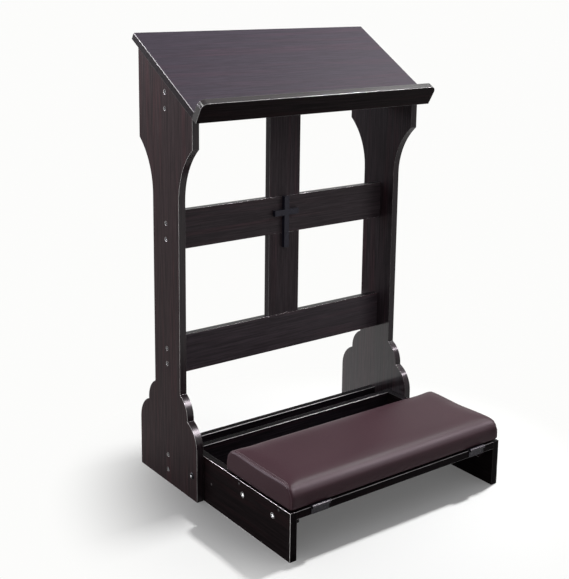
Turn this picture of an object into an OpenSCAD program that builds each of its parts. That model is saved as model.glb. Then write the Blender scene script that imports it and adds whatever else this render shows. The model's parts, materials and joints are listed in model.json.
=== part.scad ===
// Folding prayer chair: a desk on two shaped side panels, and a padded kneeler
// that swings up between their feet. X runs across, -Y is the front, Z is up.
// Inside the modules, y = 0 is the plane of the rails, and in_frame() moves
// everything so that the origin is the middle of the footprint, on the floor.

/* [Boards] */
// Thickness of every board
board_t = 15; // [12:0.5:18]
// Width across the two side panels
body_w = 560; // [480:1:640]
// Height of a rail, and of the rails' planks
rail_h = 78; // [60:1:90]
// Width of the upright slat in the middle
slat_w = 78; // [50:1:120]

/* [Side panels] */
// Depth of a panel at its foot
foot_d = 220; // [206:1:240]
// Height of the foot's upright edge
foot_edge_h = 105; // [80:1:120]
// Radius of the foot's lower curve
foot_curve_r = 55; // [48:1:64]
// Radius of the foot's upper curve
foot_shoulder_r = 48; // [40:1:56]
// Setback of the step between the two curves
foot_step_in = 34.5; // [28:0.5:40]
// Height of the upright stretch at that step
foot_step_h = 4; // [2:0.5:12]
// Depth of the column
column_d = 97; // [84:1:110]
// Depth of the head that carries the desk
head_d = 198; // [186:1:206]
// Height at which the hollow neck starts
neck_z = 590; // [560:1:610]
// Radius of the hollow neck
neck_r = 140; // [110:1:170]

/* [Desk] */
// Width of the desk board and its ledge
desk_w = 577; // [570:1:600]
// Length of the desk board along its slope
desk_len = 257; // [245:1:270]
// Slope of the desk in degrees
desk_slope = 30.5; // [24:0.5:34]
// Height of the desk board's lower front edge
desk_front_z = 758; // [745:1:790]
// Overhang of the desk board in front of the panels
desk_lip = 12.9; // [6:0.1:20]
// Height of the ledge, square to the slope
ledge_h = 44; // [30:1:60]
// Radius of the ledge's upper corners
ledge_corner_r = 13; // [5:0.5:20]

/* [Rails] */
// Height of the bottom rail's lower edge
bottom_rail_z = 5; // [3:1:20]
// Height of the lower rail's lower edge
lower_rail_z = 231; // [225:1:250]
// Height of the cross rail's lower edge
cross_rail_z = 486; // [460:1:510]

/* [Cross] */
// Height of the cross
cross_h = 109; // [90:1:130]
// Span of the cross's arms
cross_span = 60; // [40:1:75]
// Width of the cross's bars
cross_bar_w = 12; // [8:0.5:16]
// Thickness of the cross
cross_t = 9; // [5:0.5:12]
// Distance from the top of the cross to the top of its arms
cross_arm_drop = 28; // [20:1:45]

/* [Kneeler] */
// Length of the kneeler's side boards, from the front to the pivot
kneeler_reach = 300; // [270:1:320]
// Height of the kneeler's box
kneeler_h = 94; // [86:1:100]
// Gap between a kneeler side and the panel beside it
kneeler_gap = 1; // [0.6:0.1:2]
// Depth of the deck board under the pad
deck_d = 198; // [180:1:205]
// Height of the pivot, which is also the radius of the rounded rear corner
pivot_z = 50; // [46:1:50]
// Distance of the pivot behind the front edge of the foot
pivot_in = 18; // [14:1:22]
// Distance of the kneeler's rear edge behind the pivot
kneeler_tail = 38; // [34:1:40]
// Width of a square cleat under the deck
cleat_w = 20; // [16:1:24]
// Length of a cleat
cleat_len = 158; // [140:1:170]

/* [Pad] */
// Depth of the pad over its bulging sides
pad_d = 210; // [196:1:212]
// Height of the pad at its crown
pad_h = 48; // [36:1:50]
// Side clearance between the pad and the panels
pad_gap = 1; // [0.8:0.1:3]
// Thickness of the pad's board
pad_board_t = 9; // [6:0.5:12]
// Thickness of the cover where it wraps the pad's board
pad_skirt_t = 4; // [3:0.5:6]
// Amount by which the pad's sides are drawn in at the bottom
pad_tuck = 8; // [4:0.5:10]
// Rise of the crown above the pad's upper edges
pad_crown = 7; // [3:0.5:9]
// Plan radius of the pad's corners
pad_corner_r = 24; // [18:1:32]

/* [Hardware] */
// Radius of a rail screw's shank
screw_r = 2.5; // [2:0.1:3]
// Radius of a rail screw's head
screw_head_r = 4; // [3.4:0.1:5]
// Length of a rail screw
screw_len = 50; // [40:1:60]
// Distance between the two screws in one rail end
screw_pitch = 32; // [24:1:40]
// Radius of a dowel
dowel_r = 4; // [3:0.5:5]
// Radius of the pivot bolt
bolt_r = 4; // [3:0.5:5]
// Radius of the pivot bolt's head
bolt_head_r = 7; // [6:0.5:9]
// Radial clearance of the pivot bolt in its bores
bolt_fit = 0.06; // [0.03:0.01:0.1]
// Width of a hinge
hinge_w = 40; // [30:1:50]
// Distance from a kneeler side to the hinge beside it
hinge_in = 31; // [20:1:60]
// Radius of a hinge's barrel
barrel_r = 3.2; // [2.8:0.1:4]
// Radius of a hinge's pin
pin_r = 1.4; // [1:0.1:1.6]
// Thickness of a hinge's leaf
leaf_t = 1.5; // [1:0.1:2]

/* [Hidden] */
$fn = 96;

// One overrun serves every cut that has to pass through a face
overrun = 1;
// Radial and end clearance of a screw or dowel in its hole
hole_gap = 0.1;

// Places across the width
panel_in_x = body_w / 2 - board_t;
rail_len = body_w - 2 * board_t;
kneeler_x = panel_in_x - kneeler_gap;
deck_x = kneeler_x - board_t;

// Outline of a side panel
foot_step_z = foot_edge_h + sqrt(pow(foot_curve_r, 2) - pow(foot_curve_r - foot_step_in, 2));
shoulder_z = foot_step_z + foot_step_h;

// The desk, whose slope starts at the lower front edge of its board
desk_front_y = -head_d / 2 - desk_lip;
function desk_under(y) = desk_front_z + (y - desk_front_y) * tan(desk_slope);
desk_rear_z = desk_front_z + desk_len * sin(desk_slope) + board_t * cos(desk_slope);
// The top rail's front arris stays this far below the desk board
top_rail_gap = 0.5;
top_rail_z = desk_under(-board_t / 2) - top_rail_gap - rail_h;

// The cross stands with its top level with the cross rail's
cross_z = cross_rail_z + rail_h + overrun - cross_h;

// The kneeler, its pivot and the edges of its boards
pivot_y = -foot_d / 2 + pivot_in;
kneeler_front_y = pivot_y - kneeler_reach;
kneeler_rear_y = pivot_y + kneeler_tail;
deck_z = kneeler_h - board_t;
rear_rail_in = 2;
rear_rail_y = kneeler_rear_y - rear_rail_in - board_t;
deck_mid_z = kneeler_h - board_t / 2;
cleat_z = deck_z - cleat_w;
cleat_front_in = 20;
cleat_y = kneeler_front_y + cleat_front_in;

// The hinges: the barrel lies against the deck's front edge, over its upper arris
leaf_gap = 0.2;
barrel_y = kneeler_front_y - barrel_r;
barrel_z = kneeler_h + leaf_gap + leaf_t / 2;
pad_z = kneeler_h + leaf_gap + leaf_t;

// The pad's outline at its widest, and its board inside the cover's skirt
pad_w = 2 * (panel_in_x - pad_gap);
pad_front_y = kneeler_front_y - pad_gap;
pad_mid_y = pad_front_y + pad_d / 2;
pad_board_w = pad_w - 2 * pad_tuck - 2 * pad_skirt_t;
pad_board_d = pad_d - 2 * pad_tuck - 2 * pad_skirt_t;

// The footprint runs from the hinge barrels to the rear edge of the feet
front_y = barrel_y - barrel_r;
rear_y = max(foot_d / 2, desk_front_y + desk_len * cos(desk_slope));
module in_frame() translate([0, -(front_y + rear_y) / 2, 0]) children();

// Places of the fasteners
rail_floors = [bottom_rail_z, lower_rail_z, cross_rail_z, top_rail_z];
rail_screw_zs = [for (z = rail_floors, s = [-1, 1]) z + rail_h / 2 + s * screw_pitch / 2];
slat_dowel_in = 20;
slat_dowel_len = 30;
slat_dowel_zs = [top_rail_z, cross_rail_z + rail_h, cross_rail_z, lower_rail_z + rail_h];
ledge_dowel_len = 30;
ledge_dowel_r = 3;
ledge_dowel_depth = 10;
ledge_dowel_x_shares = [-0.8, -0.3, 0.3, 0.8];
bracket_leg = 30;
bracket_w = 20;
bracket_t = 2;
bracket_place_shares = [0.24, 0.74];
bracket_screw_r = 1.6;
bracket_screw_head_r = 3.2;
bracket_screw_head_h = 1.6;
bracket_screw_len = 12;
bracket_screw_share = 0.6;
deck_screw_r = 2;
deck_screw_head_r = 3;
deck_screw_len = 45;
deck_screw_y_shares = [0.18, 0.81];
cleat_screw_r = 2.5;
cleat_screw_head_r = 5;
cleat_screw_len = 30;
cleat_screw_y_shares = [0.21, 0.81];
plug_r = 2.5;
plug_len = 8;
plug_reach_share = 0.15;
plug_z_share = 0.49;
bolt_head_h = 3;
nut_h = 6.5;
nut_r = 7.5;
nut_gap = 0.3;
washer_r = 10;
hinge_screw_r = 1.2;
hinge_screw_head_r = 2.4;
hinge_screw_len = 9;
hinge_screw_x_share = 0.3;
hinge_leaf_h = 13.5;
moving_leaf_d = 26;
moving_screw_share = 0.72;
knuckle_share = 0.46;
knuckle_gap = 0.3;
bumper_r = 6;
bumper_x_share = 0.8;
bumper_y_share = 0.7;
bolt_len = board_t + kneeler_gap + board_t + nut_gap + nut_h + overrun;

// A solid made across the part: its outline's x becomes Y and its y becomes Z
module across(x, w) translate([x, 0, 0]) rotate([90, 0, 90]) linear_extrude(w) children();

// Turns a piece made along +Z so that it points along X, inward from side s
module inward(s) rotate([0, -s * 90, 0]) children();

// A piece on each side, turned to point inward from the face at x
module both_sides(x) for (s = [-1, 1]) translate([s * x, 0, 0]) inward(s) children();

// A countersunk screw with its head's face at the origin, pointing along +Z
module screw(len, r, head_r, gap = 0) {
    head_h = head_r - r;
    rotate_extrude() polygon([
        [0, 0], [head_r + gap, 0], [r + gap, head_h],
        [r + gap, len - r], [0, len + gap]
    ]);
}

// The desk's own frame: its y runs up the slope, and its z is square to it
module on_desk() translate([0, desk_front_y, desk_front_z]) rotate([desk_slope, 0, 0]) children();

// Outline of a side panel, made of arcs: two stacked curves at the foot, a
// straight column and a hollow neck under the head
module panel_outline() {
    step_y = foot_d / 2 - foot_step_in;
    difference() {
        union() {
            translate([-foot_d / 2, 0]) square([foot_d, foot_edge_h]);
            translate([-step_y, 0]) square([2 * step_y, shoulder_z]);
            translate([-column_d / 2, 0]) square([column_d, neck_z + overrun]);
            translate([-head_d / 2, neck_z]) square([head_d, desk_rear_z - neck_z]);
            for (s = [-1, 1]) {
                translate([s * (foot_d / 2 - foot_curve_r), foot_edge_h]) circle(foot_curve_r);
                translate([s * (step_y - foot_shoulder_r), shoulder_z]) circle(foot_shoulder_r);
            }
        }
        for (s = [-1, 1]) translate([s * (column_d / 2 + neck_r), neck_z]) circle(neck_r);
        polygon([
            [-foot_d, desk_under(-foot_d)], [foot_d, desk_under(foot_d)],
            [foot_d, 2 * desk_rear_z], [-foot_d, 2 * desk_rear_z]
        ]);
    }
}

module side_panel(s) color("#2b2125") difference() {
    across(s > 0 ? panel_in_x : -body_w / 2, board_t) panel_outline();
    for (z = rail_screw_zs) translate([s * body_w / 2, 0, z]) inward(s)
        screw(screw_len, screw_r, screw_head_r, hole_gap);
    translate([s * (panel_in_x - overrun), pivot_y, pivot_z]) inward(-s)
        cylinder(h = board_t + 2 * overrun, r = bolt_r + bolt_fit);
    bracket_panel_screws(hole_gap, s);
}

module left_side_panel() in_frame() side_panel(-1);
module right_side_panel() in_frame() side_panel(1);

// Dowels that join the ledge to the desk board's front edge
module ledge_dowel_set(gap) for (share = ledge_dowel_x_shares)
    translate([share * desk_w / 2, -ledge_dowel_depth - gap, board_t / 2])
        rotate([-90, 0, 0]) cylinder(h = ledge_dowel_len + 2 * gap, r = ledge_dowel_r + gap);

module desk_board() color("#33282c") in_frame() on_desk() difference() {
    translate([-desk_w / 2, 0, 0]) cube([desk_w, desk_len, board_t]);
    ledge_dowel_set(hole_gap);
    for (s = [-1, 1]) bracket_desk_screws(hole_gap, s);
}

module desk_ledge() color("#2b2125") in_frame() on_desk() difference() {
    rotate([90, 0, 0]) linear_extrude(board_t) union() {
        translate([-desk_w / 2, 0]) square([desk_w, ledge_h - ledge_corner_r]);
        translate([-desk_w / 2 + ledge_corner_r, 0]) square([desk_w - 2 * ledge_corner_r, ledge_h]);
        for (s = [-1, 1]) translate([s * (desk_w / 2 - ledge_corner_r), ledge_h - ledge_corner_r])
            circle(ledge_corner_r);
    }
    ledge_dowel_set(hole_gap);
}

// Dowels that hold the slats, standing half in a rail and half in a slat
module slat_dowel_at(z, gap) for (s = [-1, 1])
    translate([s * slat_dowel_in, 0, z - slat_dowel_len / 2 - gap])
        cylinder(h = slat_dowel_len + 2 * gap, r = dowel_r + gap);

module rail(z) color("#2b2125") difference() {
    translate([-rail_len / 2, -board_t / 2, z]) cube([rail_len, board_t, rail_h]);
    for (s = [-1, 1]) translate([0, 0, z + rail_h / 2 + s * screw_pitch / 2])
        both_sides(body_w / 2) screw(screw_len, screw_r, screw_head_r, hole_gap);
    for (dowel_z = slat_dowel_zs) if (dowel_z >= z && dowel_z <= z + rail_h)
        slat_dowel_at(dowel_z, hole_gap);
}

module top_rail() in_frame() rail(top_rail_z);
module cross_rail() in_frame() rail(cross_rail_z);
module lower_rail() in_frame() rail(lower_rail_z);
module bottom_rail() in_frame() rail(bottom_rail_z);

module slat(low_z, high_z) color("#2b2125") difference() {
    translate([-slat_w / 2, -board_t / 2, low_z]) cube([slat_w, board_t, high_z - low_z]);
    slat_dowel_at(low_z, hole_gap);
    slat_dowel_at(high_z, hole_gap);
}

module upper_slat() in_frame() slat(cross_rail_z + rail_h, top_rail_z);
module lower_slat() in_frame() slat(lower_rail_z + rail_h, cross_rail_z);

module cross_ornament() color("#1b1b22") in_frame()
    translate([0, -board_t / 2, cross_z]) rotate([90, 0, 0]) linear_extrude(cross_t) union() {
        translate([-cross_bar_w / 2, 0]) square([cross_bar_w, cross_h]);
        translate([-cross_span / 2, cross_h - cross_arm_drop - cross_bar_w])
            square([cross_span, cross_bar_w]);
    }

module rail_screws() color("#c9ccd0") in_frame() for (z = rail_screw_zs)
    translate([0, 0, z]) both_sides(body_w / 2) screw(screw_len, screw_r, screw_head_r);

module slat_dowels() color("#b58a58") in_frame() for (z = slat_dowel_zs) slat_dowel_at(z, 0);

module ledge_dowels() color("#b58a58") in_frame() on_desk() ledge_dowel_set(0);

// Angle brackets under the desk board, against the inner faces of the panels
module bracket_at(s, share) translate([s * panel_in_x, share * desk_len - bracket_w / 2, 0])
    scale([-s, 1, -1]) union() {
        cube([bracket_leg, bracket_w, bracket_t]);
        cube([bracket_t, bracket_w, bracket_leg]);
    }

module bracket_screw(gap) {
    rotate_extrude() polygon([
        [0, -bracket_t - bracket_screw_head_h], [bracket_screw_head_r, -bracket_t - bracket_screw_head_h],
        [bracket_screw_head_r, -bracket_t], [bracket_screw_r + gap, -bracket_t],
        [bracket_screw_r + gap, bracket_screw_len - bracket_t - bracket_screw_r],
        [0, bracket_screw_len - bracket_t + gap]
    ]);
}

module bracket_desk_screws(gap, s) for (share = bracket_place_shares)
    translate([s * (panel_in_x - bracket_screw_share * bracket_leg), share * desk_len, 0])
        bracket_screw(gap);

// The same screws into the panel, placed in the desk's frame and turned outward
module bracket_panel_screws(gap, s) on_desk() for (share = bracket_place_shares)
    translate([s * panel_in_x, share * desk_len, -bracket_screw_share * bracket_leg])
        inward(-s) bracket_screw(gap);

module desk_brackets() color("#8c8f94") in_frame() difference() {
    on_desk() for (s = [-1, 1], share = bracket_place_shares) bracket_at(s, share);
    for (s = [-1, 1]) {
        on_desk() bracket_desk_screws(hole_gap, s);
        bracket_panel_screws(hole_gap, s);
    }
}

module bracket_screws() color("#c9ccd0") in_frame() for (s = [-1, 1]) {
    on_desk() bracket_desk_screws(0, s);
    bracket_panel_screws(0, s);
}

// The pivot: a bolt through the foot and the kneeler's side, a washer in the
// gap between them and a nut on the inside
module at_pivots(x) translate([0, pivot_y, pivot_z]) both_sides(x) children();

module pivot_bolts() color("#c9ccd0") in_frame() at_pivots(body_w / 2) {
    cylinder(h = bolt_len, r = bolt_r);
    translate([0, 0, -bolt_head_h]) cylinder(h = bolt_head_h, r1 = bolt_r, r2 = bolt_head_r);
}

module pivot_washers() color("#9a9da2") in_frame() at_pivots(panel_in_x) difference() {
    cylinder(h = kneeler_gap, r = washer_r);
    translate([0, 0, -overrun]) cylinder(h = kneeler_gap + 2 * overrun, r = bolt_r + bolt_fit);
}

module pivot_nuts() color("#9a9da2") in_frame() at_pivots(deck_x - nut_gap) difference() {
    cylinder(h = nut_h, r = nut_r, $fn = 6);
    translate([0, 0, -overrun]) cylinder(h = nut_h + 2 * overrun, r = bolt_r + bolt_fit);
}

// Outline of a kneeler side: its lower rear corner is an arc about the pivot,
// so that it rolls over the floor as the kneeler swings up
module kneeler_outline() {
    translate([kneeler_front_y, 0]) square([kneeler_reach, kneeler_h]);
    translate([pivot_y - overrun, pivot_z])
        square([kneeler_tail + overrun, kneeler_h - pivot_z]);
    intersection() {
        translate([pivot_y, pivot_z]) circle(pivot_z);
        translate([pivot_y - overrun, 0]) square([kneeler_tail + overrun, pivot_z + overrun]);
    }
}

// Fasteners in the kneeler's sides, each drawn with a gap for its hole
module deck_screw_set(gap) for (share = deck_screw_y_shares)
    translate([0, kneeler_front_y + share * deck_d, deck_mid_z])
        both_sides(kneeler_x) screw(deck_screw_len, deck_screw_r, deck_screw_head_r, gap);

module cleat_screw_set(gap) for (share = cleat_screw_y_shares)
    translate([0, cleat_y + share * cleat_len, cleat_z + cleat_w / 2])
        both_sides(kneeler_x) screw(cleat_screw_len, cleat_screw_r, cleat_screw_head_r, gap);

module rear_rail_screw_set(gap) for (s = [-1, 1])
    translate([0, rear_rail_y + board_t / 2, kneeler_h - rail_h / 2 + s * screw_pitch / 2])
        both_sides(kneeler_x) screw(screw_len, screw_r, screw_head_r, gap);

module plug_set(gap)
    translate([0, pivot_y - plug_reach_share * kneeler_reach, plug_z_share * kneeler_h])
        both_sides(kneeler_x) cylinder(h = plug_len + gap, r = plug_r + gap);

module kneeler_side(s) color("#241c20") difference() {
    across(s > 0 ? deck_x : -kneeler_x, board_t) kneeler_outline();
    translate([s * (deck_x - overrun), pivot_y, pivot_z]) inward(-s)
        cylinder(h = board_t + 2 * overrun, r = bolt_r + bolt_fit);
    deck_screw_set(hole_gap);
    cleat_screw_set(hole_gap);
    rear_rail_screw_set(hole_gap);
    plug_set(hole_gap);
}

module kneeler_side_left() in_frame() kneeler_side(-1);
module kneeler_side_right() in_frame() kneeler_side(1);

module kneeler_rear_rail() color("#241c20") in_frame() difference() {
    translate([-deck_x, rear_rail_y, kneeler_h - rail_h]) cube([2 * deck_x, board_t, rail_h]);
    rear_rail_screw_set(hole_gap);
}

module kneeler_deck() color("#241c20") in_frame() difference() {
    translate([-deck_x, kneeler_front_y, deck_z]) cube([2 * deck_x, deck_d, board_t]);
    deck_screw_set(hole_gap);
    fixed_leaf_screws(hole_gap);
}

module deck_cleats() color("#3a2e2c") in_frame() difference() {
    for (s = [-1, 1]) translate([s * (deck_x - cleat_w / 2), cleat_y + cleat_len / 2, cleat_z + cleat_w / 2])
        cube([cleat_w, cleat_len, cleat_w], center = true);
    cleat_screw_set(hole_gap);
}

module deck_screws() color("#6d6f73") in_frame() deck_screw_set(0);
module cleat_screws() color("#c9ccd0") in_frame() cleat_screw_set(0);
module rear_rail_screws() color("#c9ccd0") in_frame() rear_rail_screw_set(0);
module side_plugs() color("#3a3033") in_frame() plug_set(0);

// A hinge's barrel between two shares of its width, with its bore
module knuckle(x, w) translate([x, barrel_y, barrel_z]) rotate([0, 90, 0]) difference() {
    cylinder(h = w, r = barrel_r);
    translate([0, 0, -overrun]) cylinder(h = w + 2 * overrun, r = pin_r + bolt_fit);
}

module at_hinges() for (s = [-1, 1])
    translate([s * (deck_x - hinge_in - hinge_w / 2), 0, 0]) children();

// The space that the barrel's other knuckles and the pin take out of a leaf
module knuckle_space(x, w) translate([x, barrel_y, barrel_z]) rotate([0, 90, 0])
    cylinder(h = w, r = barrel_r + knuckle_gap);

// Screws of the fixed leaf, into the deck's front edge, and of the moving leaf,
// up into the pad's board
module fixed_leaf_screws(gap) at_hinges() for (s = [-1, 1])
    translate([s * hinge_screw_x_share * hinge_w, kneeler_front_y - leaf_t, deck_mid_z - leaf_t])
        rotate([-90, 0, 0]) screw(hinge_screw_len, hinge_screw_r, hinge_screw_head_r, gap);

module moving_leaf_screws(gap) at_hinges() for (s = [-1, 1])
    translate([
        s * hinge_screw_x_share * hinge_w,
        kneeler_front_y + moving_screw_share * moving_leaf_d, pad_z - leaf_t
    ]) screw(hinge_screw_len, hinge_screw_r, hinge_screw_head_r, gap);

module hinge_fixed_leaves() color("#4a4c50") in_frame() difference() {
    at_hinges() {
        mid_w = knuckle_share * hinge_w;
        end_w = (hinge_w - mid_w) / 2 - knuckle_gap;
        difference() {
            translate([-hinge_w / 2, kneeler_front_y - leaf_t, barrel_z - leaf_t - hinge_leaf_h])
                cube([hinge_w, leaf_t, hinge_leaf_h + leaf_t]);
            knuckle_space(-mid_w / 2 - knuckle_gap, mid_w + 2 * knuckle_gap);
            translate([-hinge_w / 2 - overrun, barrel_y, barrel_z]) rotate([0, 90, 0])
                cylinder(h = hinge_w + 2 * overrun, r = pin_r + bolt_fit);
        }
        knuckle(-hinge_w / 2, end_w);
        knuckle(hinge_w / 2 - end_w, end_w);
    }
    fixed_leaf_screws(hole_gap);
}

module hinge_pins() color("#9a9da2") in_frame() at_hinges()
    translate([-hinge_w / 2, barrel_y, barrel_z]) rotate([0, 90, 0]) cylinder(h = hinge_w, r = pin_r);

module hinge_fixed_screws() color("#6d6f73") in_frame() fixed_leaf_screws(0);

module hinge_moving_leaves() color("#4a4c50") in_frame() difference() {
    at_hinges() {
        mid_w = knuckle_share * hinge_w;
        end_w = (hinge_w - mid_w) / 2;
        difference() {
            translate([-hinge_w / 2, barrel_y, pad_z - leaf_t])
                cube([hinge_w, barrel_r + moving_leaf_d, leaf_t]);
            knuckle_space(-hinge_w / 2 - overrun, end_w + overrun);
            knuckle_space(hinge_w / 2 - end_w, end_w + overrun);
            translate([-hinge_w / 2 - overrun, barrel_y, barrel_z]) rotate([0, 90, 0])
                cylinder(h = hinge_w + 2 * overrun, r = pin_r + bolt_fit);
        }
        knuckle(-mid_w / 2, mid_w);
    }
    moving_leaf_screws(hole_gap);
}

module hinge_moving_screws() color("#6d6f73") in_frame() moving_leaf_screws(0);

// The board under the cushion, and the bumpers that keep it level with the
// hinges' leaves
module pad_board() color("#4b3a30") in_frame() difference() {
    r = pad_corner_r - pad_tuck - pad_skirt_t;
    translate([0, pad_mid_y, pad_z]) linear_extrude(pad_board_t) union() {
        square([pad_board_w - 2 * r, pad_board_d], center = true);
        square([pad_board_w, pad_board_d - 2 * r], center = true);
        for (sx = [-1, 1], sy = [-1, 1])
            translate([sx * (pad_board_w / 2 - r), sy * (pad_board_d / 2 - r)]) circle(r);
    }
    moving_leaf_screws(hole_gap);
}

module pad_bumpers() color("#1c1c1c") in_frame() for (s = [-1, 1])
    translate([s * bumper_x_share * pad_board_w / 2, pad_mid_y + bumper_y_share * pad_board_d / 2, kneeler_h])
        cylinder(h = pad_z - kneeler_h, r = bumper_r);

// The cushion is one skin of rings, each a rounded rectangle drawn in from the
// pad's widest outline and set at its own height
ring_corner_steps = 7;
ring_long_steps = 6;
function corner_points(cx, cy, r, from) = [
    for (i = [0:ring_corner_steps]) let (a = from + 90 * i / ring_corner_steps)
        [cx + r * cos(a), cy + r * sin(a)]
];
function side_points(from, to) = [
    for (i = [1:ring_long_steps - 1]) from + (to - from) * i / ring_long_steps
];
function ring_points(inset) = let (
    hx = pad_w / 2 - inset, hy = pad_d / 2 - inset,
    r = max(pad_corner_r - inset, pad_skirt_t),
    cx = hx - r, cy = hy - r
) concat(
    corner_points(cx, cy, r, 0), side_points([cx, hy], [-cx, hy]),
    corner_points(-cx, cy, r, 90), corner_points(-cx, -cy, r, 180),
    side_points([-cx, -hy], [cx, -hy]), corner_points(cx, -cy, r, 270)
);

// The side's bulge, from the tucked bottom up to the seam at the upper edge:
// heights are shares of the pad's height less its crown, insets of the tuck
side_height_shares = [0, 0.1, 0.25, 0.45, 0.65, 0.82, 0.92];
side_inset_shares = [1, 0.62, 0.2, 0, 0.1, 0.45, 0.85];
// The crown, from that seam to the middle: insets are shares of half the depth
crown_inset_shares = [0.11, 0.15, 0.22, 0.34, 0.5, 0.7, 0.92];
edge_h = pad_h - pad_crown;
board_fit = 0.3;
pocket_inset = pad_tuck + pad_skirt_t - board_fit;
cushion_rings = concat(
    [[pocket_inset, pad_board_t + board_fit], [pocket_inset, 0]],
    [for (i = [0:len(side_height_shares) - 1])
        [side_inset_shares[i] * pad_tuck, side_height_shares[i] * edge_h]],
    [for (share = crown_inset_shares)
        [share * pad_d / 2, edge_h + pad_crown * (1 - pow(1 - share, 2))]]
);

module ring_skin(rings) {
    n = len(ring_points(0));
    points = [for (ring = rings) each [for (p = ring_points(ring[0])) [p[0], p[1], ring[1]]]];
    last = len(rings) - 1;
    middles = [[0, 0, rings[0][1]], [0, 0, rings[last][1]]];
    polyhedron(concat(points, middles), concat(
        [for (i = [0:n - 1]) [n * len(rings), i, (i + 1) % n]],
        [for (k = [0:last - 1], i = [0:n - 1]) [k * n + i, (k + 1) * n + i, k * n + (i + 1) % n]],
        [for (k = [0:last - 1], i = [0:n - 1])
            [k * n + (i + 1) % n, (k + 1) * n + i, (k + 1) * n + (i + 1) % n]],
        [for (i = [0:n - 1]) [n * len(rings) + 1, last * n + (i + 1) % n, last * n + i]]
    ));
}

module pad_cushion() color("#4d3940") in_frame() translate([0, pad_mid_y, pad_z]) ring_skin(cushion_rings);

left_side_panel();
right_side_panel();
desk_board();
desk_ledge();
top_rail();
cross_rail();
lower_rail();
bottom_rail();
upper_slat();
lower_slat();
cross_ornament();
rail_screws();
slat_dowels();
ledge_dowels();
desk_brackets();
bracket_screws();
pivot_bolts();
pivot_washers();
pivot_nuts();
kneeler_side_left();
kneeler_side_right();
kneeler_rear_rail();
kneeler_deck();
deck_cleats();
deck_screws();
cleat_screws();
rear_rail_screws();
side_plugs();
hinge_fixed_leaves();
hinge_pins();
hinge_fixed_screws();
hinge_moving_leaves();
hinge_moving_screws();
pad_board();
pad_bumpers();
pad_cushion();
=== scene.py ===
# Looks of the folding prayer chair: dark wood boards, a sewn kneeler pad and small steel fittings.
# Metres, X across, -Y to the front, Z up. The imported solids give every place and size.
import json
import math
import bpy
import bmesh
from mathutils import Euler, Matrix, Vector, noise
from mathutils.bvhtree import BVHTree

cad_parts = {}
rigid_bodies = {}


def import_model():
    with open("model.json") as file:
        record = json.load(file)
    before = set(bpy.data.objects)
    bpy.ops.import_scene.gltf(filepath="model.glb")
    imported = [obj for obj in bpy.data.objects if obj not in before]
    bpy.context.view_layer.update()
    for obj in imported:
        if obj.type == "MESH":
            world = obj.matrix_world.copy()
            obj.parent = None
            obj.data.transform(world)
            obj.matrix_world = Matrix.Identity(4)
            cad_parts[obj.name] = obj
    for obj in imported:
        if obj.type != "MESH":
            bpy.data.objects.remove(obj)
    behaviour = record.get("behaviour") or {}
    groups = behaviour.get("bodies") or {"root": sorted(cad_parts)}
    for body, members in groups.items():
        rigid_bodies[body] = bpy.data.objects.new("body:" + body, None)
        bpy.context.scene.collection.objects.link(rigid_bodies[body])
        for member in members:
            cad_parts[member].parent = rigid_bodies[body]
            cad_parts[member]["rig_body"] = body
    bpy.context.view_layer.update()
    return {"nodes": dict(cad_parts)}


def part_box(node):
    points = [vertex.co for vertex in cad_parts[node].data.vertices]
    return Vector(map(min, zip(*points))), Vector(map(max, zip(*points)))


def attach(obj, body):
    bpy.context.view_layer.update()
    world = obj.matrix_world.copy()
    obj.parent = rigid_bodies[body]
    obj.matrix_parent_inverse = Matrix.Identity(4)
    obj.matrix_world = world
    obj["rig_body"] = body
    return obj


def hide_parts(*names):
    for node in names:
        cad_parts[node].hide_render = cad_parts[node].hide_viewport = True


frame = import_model()
nodes = frame["nodes"]
scene = bpy.context.scene
mm = 0.001
tiny = 0.01 * mm  # nearer than this is the same place
across, along, upright = Vector((1, 0, 0)), Vector((0, 1, 0)), Vector((0, 0, 1))


def newThing(name, data):  # an object in the scene
    thing = bpy.data.objects.new(name, data)
    scene.collection.objects.link(thing)
    return thing


def newMesh(name, mesh):  # the data of a bmesh, which ends here
    data = bpy.data.meshes.new(name)
    mesh.to_mesh(data)
    mesh.free()
    return data


def objectOf(name, mesh):
    return newThing(name, newMesh(name, mesh))


def setAll(thing, **values):
    for key, value in values.items():
        setattr(thing, key, value)
    return thing


def withModifier(thing, kind, **values):
    return setAll(thing.modifiers.new(kind.lower(), kind), **values)


# Camera, floor and light
viewSettings = dict(
    azimuth=-37.105, elevation=11.717, roll=0.824,  # degrees
    place=(-1.31993, -1.64519, 1.03217),
    picture=(569, 579),  # pixels
    focal=1090.84, middle=(295.45, 192.12),  # pixels
)


def makeCamera(view):
    turn, tip, roll = (math.radians(view[k]) for k in ("azimuth", "elevation", "roll"))
    back = Vector((math.sin(turn) * math.cos(tip), -math.cos(turn) * math.cos(tip), math.sin(tip)))
    right = Vector((math.cos(turn), math.sin(turn), 0))
    up = back.cross(right)
    rolledRight = math.cos(roll) * right + math.sin(roll) * up
    rolledUp = math.cos(roll) * up - math.sin(roll) * right
    data = bpy.data.cameras.new("camera")
    data.sensor_fit = "HORIZONTAL"
    data.sensor_width = 36
    width, height = view["picture"]
    data.lens = view["focal"] * data.sensor_width / width
    data.shift_x = (width / 2 - view["middle"][0]) / width
    data.shift_y = (view["middle"][1] - height / 2) / width
    camera = newThing("camera", data)
    camera.matrix_world = Matrix.Translation(view["place"]) @ Matrix(
        (rolledRight, rolledUp, back)).transposed().to_4x4()
    scene.camera = camera


makeCamera(viewSettings)


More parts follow.
